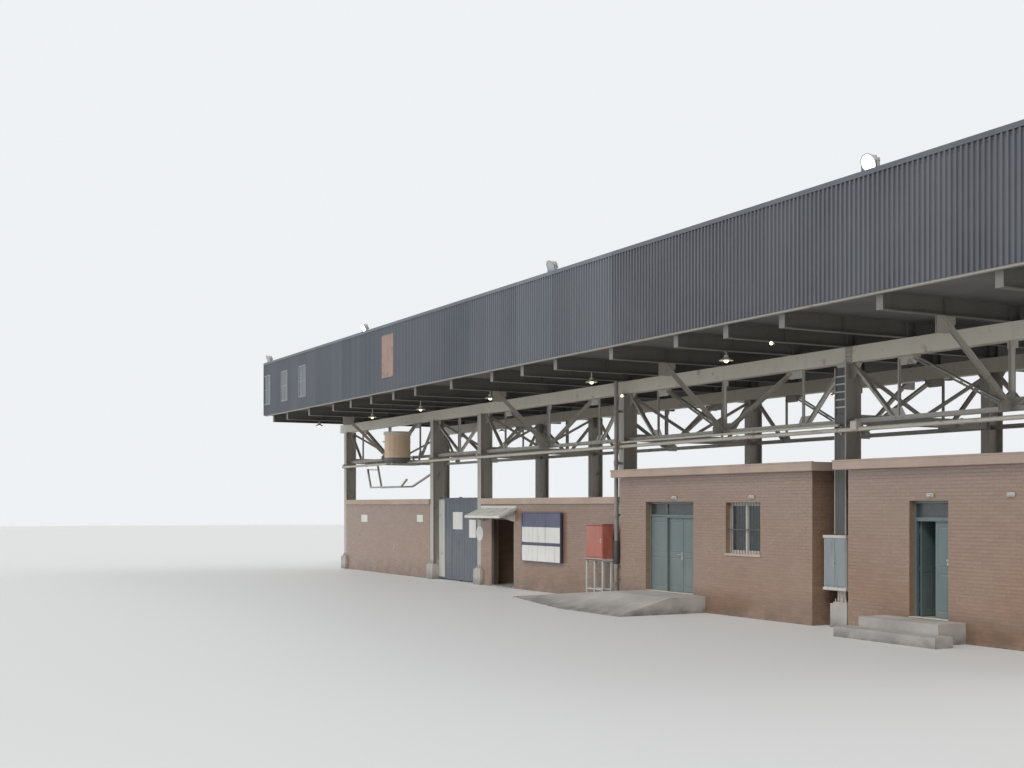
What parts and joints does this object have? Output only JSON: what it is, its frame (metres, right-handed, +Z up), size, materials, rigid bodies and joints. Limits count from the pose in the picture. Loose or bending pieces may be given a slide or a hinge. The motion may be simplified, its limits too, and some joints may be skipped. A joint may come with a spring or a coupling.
{
  "type": "elevated conveyor gallery on a steel trestle with switch rooms",
  "caption": "Ribbed-sheet conveyor gallery carried on a steel column-and-truss trestle, with tiled switch rooms with hinged doors built between its legs.",
  "frame": {"origin": "centre of the whole object's footprint at ground level", "axes": "+X along the gallery, -Y towards the front with the room doors, +Z up"},
  "size_m": [39.3, 10.886, 8.5458],
  "materials": {
    "concrete": "weathered cast concrete, stained near the ground",
    "grey_steel": "weathered grey-beige paint on structural steel",
    "pale_steel": "weathered cream-grey paint",
    "cladding": "dark blue-grey coated ribbed sheet, dusty",
    "rusty_sheet": "rusted steel sheet",
    "window_frame": "pale painted frame with dusty pane",
    "lamp_grey": "grey painted lamp body",
    "lamp_cream": "cream enamelled shade and conduit",
    "pipe_brown": "dull brown-grey painted pipe",
    "galvanised": "dull zinc finish",
    "collector_cream": "cream-orange paint, streaked",
    "tile": "brown-red glazed wall tile, glossy when wet",
    "slab_pink": "pink-beige painted concrete edge",
    "door_teal": "teal-grey painted sheet steel",
    "board_navy": "navy painted board",
    "cabinet_red": "red painted steel",
    "canopy_white": "off-white painted sheet",
    "stand_grey": "pale grey painted shelf and legs",
    "plate_white": "bare white painted sheet",
    "screen_blue": "blue-grey painted sheet"
  },
  "bodies": {
    "gallery": {"plinths": "concrete", "columns": "grey_steel", "bent_ties": "grey_steel", "top_chords": "pale_steel", "trusses": "grey_steel", "floor_beams": "grey_steel", "knee_braces": "grey_steel", "edge_beams": "grey_steel", "side_frames": "grey_steel", "rafters": "grey_steel", "gallery_floor": "concrete", "side_cladding": "cladding", "window_cladding": "cladding", "patch_panel": "rusty_sheet", "end_cladding": "cladding", "gallery_roof": "cladding", "gallery_windows": "window_frame", "floodlights": "lamp_grey", "lamps": "lamp_cream", "service_pipes": "pale_steel", "downpipe": "pipe_brown", "cable_ladder": "galvanised", "dust_collector": "collector_cream", "collector_bracket": "grey_steel", "front_walls": "tile", "window_wall": "tile", "door_lintels": "tile", "back_walls": "tile", "low_room_walls": "tile", "room_floors": "concrete", "roof_slabs": "slab_pink", "door_frames": "door_teal", "room_window": "window_frame", "entry_steps": "concrete", "entry_ramp": "concrete", "notice_board": "board_navy", "wall_cabinet": "cabinet_red", "cabinet_stand": "stand_grey", "entry_canopy": "canopy_white", "sheet_screens": "screen_blue", "column_panel": "lamp_grey", "blank_plates": "plate_white"},
    "door_a_main": {"door_a_main": "door_teal"},
    "door_a_side": {"door_a_side": "door_teal"},
    "door_b_left": {"door_b_left": "door_teal"},
    "door_b_right": {"door_b_right": "door_teal"}
  },
  "joints": [
    {"name": "door_a_main_hinge", "type": "hinge", "parent": "gallery", "child": "door_a_main", "pos_m": [12.51, -2.34, 0.412], "axis": [0, 0, 1], "range_deg": [-90, 12]},
    {"name": "door_a_side_hinge", "type": "hinge", "parent": "gallery", "child": "door_a_side", "pos_m": [13.39, -2.34, 0.412], "axis": [0, 0, 1], "range_deg": [-95, 0]},
    {"name": "door_b_left_hinge", "type": "hinge", "parent": "gallery", "child": "door_b_left", "pos_m": [4.155, -2.34, 0.412], "axis": [0, 0, 1], "range_deg": [0, 105]},
    {"name": "door_b_right_hinge", "type": "hinge", "parent": "gallery", "child": "door_b_right", "pos_m": [5.38, -2.34, 0.412], "axis": [0, 0, 1], "range_deg": [-105, 0]}
  ]
}
